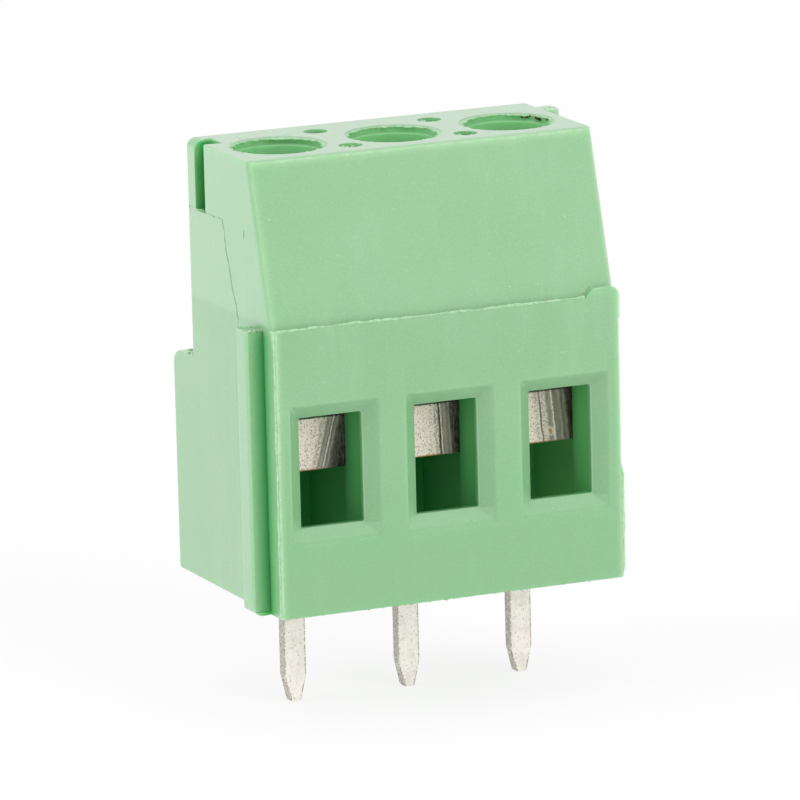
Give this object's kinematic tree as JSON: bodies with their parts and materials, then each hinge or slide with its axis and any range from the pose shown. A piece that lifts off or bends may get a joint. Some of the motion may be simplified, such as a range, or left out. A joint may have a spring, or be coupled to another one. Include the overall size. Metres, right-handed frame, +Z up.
{
  "type": "pcb screw terminal",
  "caption": "Upright board-mount screw terminal block: moulded housing with sloping front, funnelled wire entries, captive clamp screws with rising cages, and solder pins.",
  "frame": {"origin": "where the middle solder pin's axis crosses the face that sits on the board", "axes": "+Z up from the board, wire entries face -Y, poles in a row along X with pole 1 at -X"},
  "size_m": [0.0167, 0.0109, 0.0231],
  "materials": {
    "housing_plastic": "waxy moulded polyamide, slightly translucent",
    "screw_steel": "zinc-plated steel",
    "cage_metal": "plated steel with sheared faces",
    "tinned_pin": "tin-plated brass strip"
  },
  "bodies": {
    "block": {"housing": "housing_plastic", "solder_contact_1": "tinned_pin", "solder_contact_2": "tinned_pin", "solder_contact_3": "tinned_pin"},
    "screw_1": {"clamp_screw_1": "screw_steel"},
    "screw_2": {"clamp_screw_2": "screw_steel"},
    "screw_3": {"clamp_screw_3": "screw_steel"},
    "cage_1": {"clamp_cage_1": "cage_metal"},
    "cage_2": {"clamp_cage_2": "cage_metal"},
    "cage_3": {"clamp_cage_3": "cage_metal"}
  },
  "joints": [
    {"name": "screw_turn_1", "type": "hinge", "parent": "block", "child": "screw_1", "pos_m": [-0.00508, 0, 0.012], "axis": [0, 0, 1], "range_deg": [0, 1800]},
    {"name": "screw_turn_2", "type": "hinge", "parent": "block", "child": "screw_2", "pos_m": [0, 0, 0.012], "axis": [0, 0, 1], "range_deg": [0, 1800]},
    {"name": "screw_turn_3", "type": "hinge", "parent": "block", "child": "screw_3", "pos_m": [0.00508, 0, 0.012], "axis": [0, 0, 1], "range_deg": [0, 1800]},
    {"name": "cage_rise_1", "type": "slide", "parent": "block", "child": "cage_1", "axis": [0, 0, 1], "range_m": [-0.0025, 0]},
    {"name": "cage_rise_2", "type": "slide", "parent": "block", "child": "cage_2", "axis": [0, 0, 1], "range_m": [-0.0025, 0]},
    {"name": "cage_rise_3", "type": "slide", "parent": "block", "child": "cage_3", "axis": [0, 0, 1], "range_m": [-0.0025, 0]}
  ],
  "couplings": [
    {"joint": "screw_turn_1", "follows": "cage_rise_1", "rad_per_m": -12566},
    {"joint": "screw_turn_2", "follows": "cage_rise_2", "rad_per_m": -12566},
    {"joint": "screw_turn_3", "follows": "cage_rise_3", "rad_per_m": -12566}
  ]
}
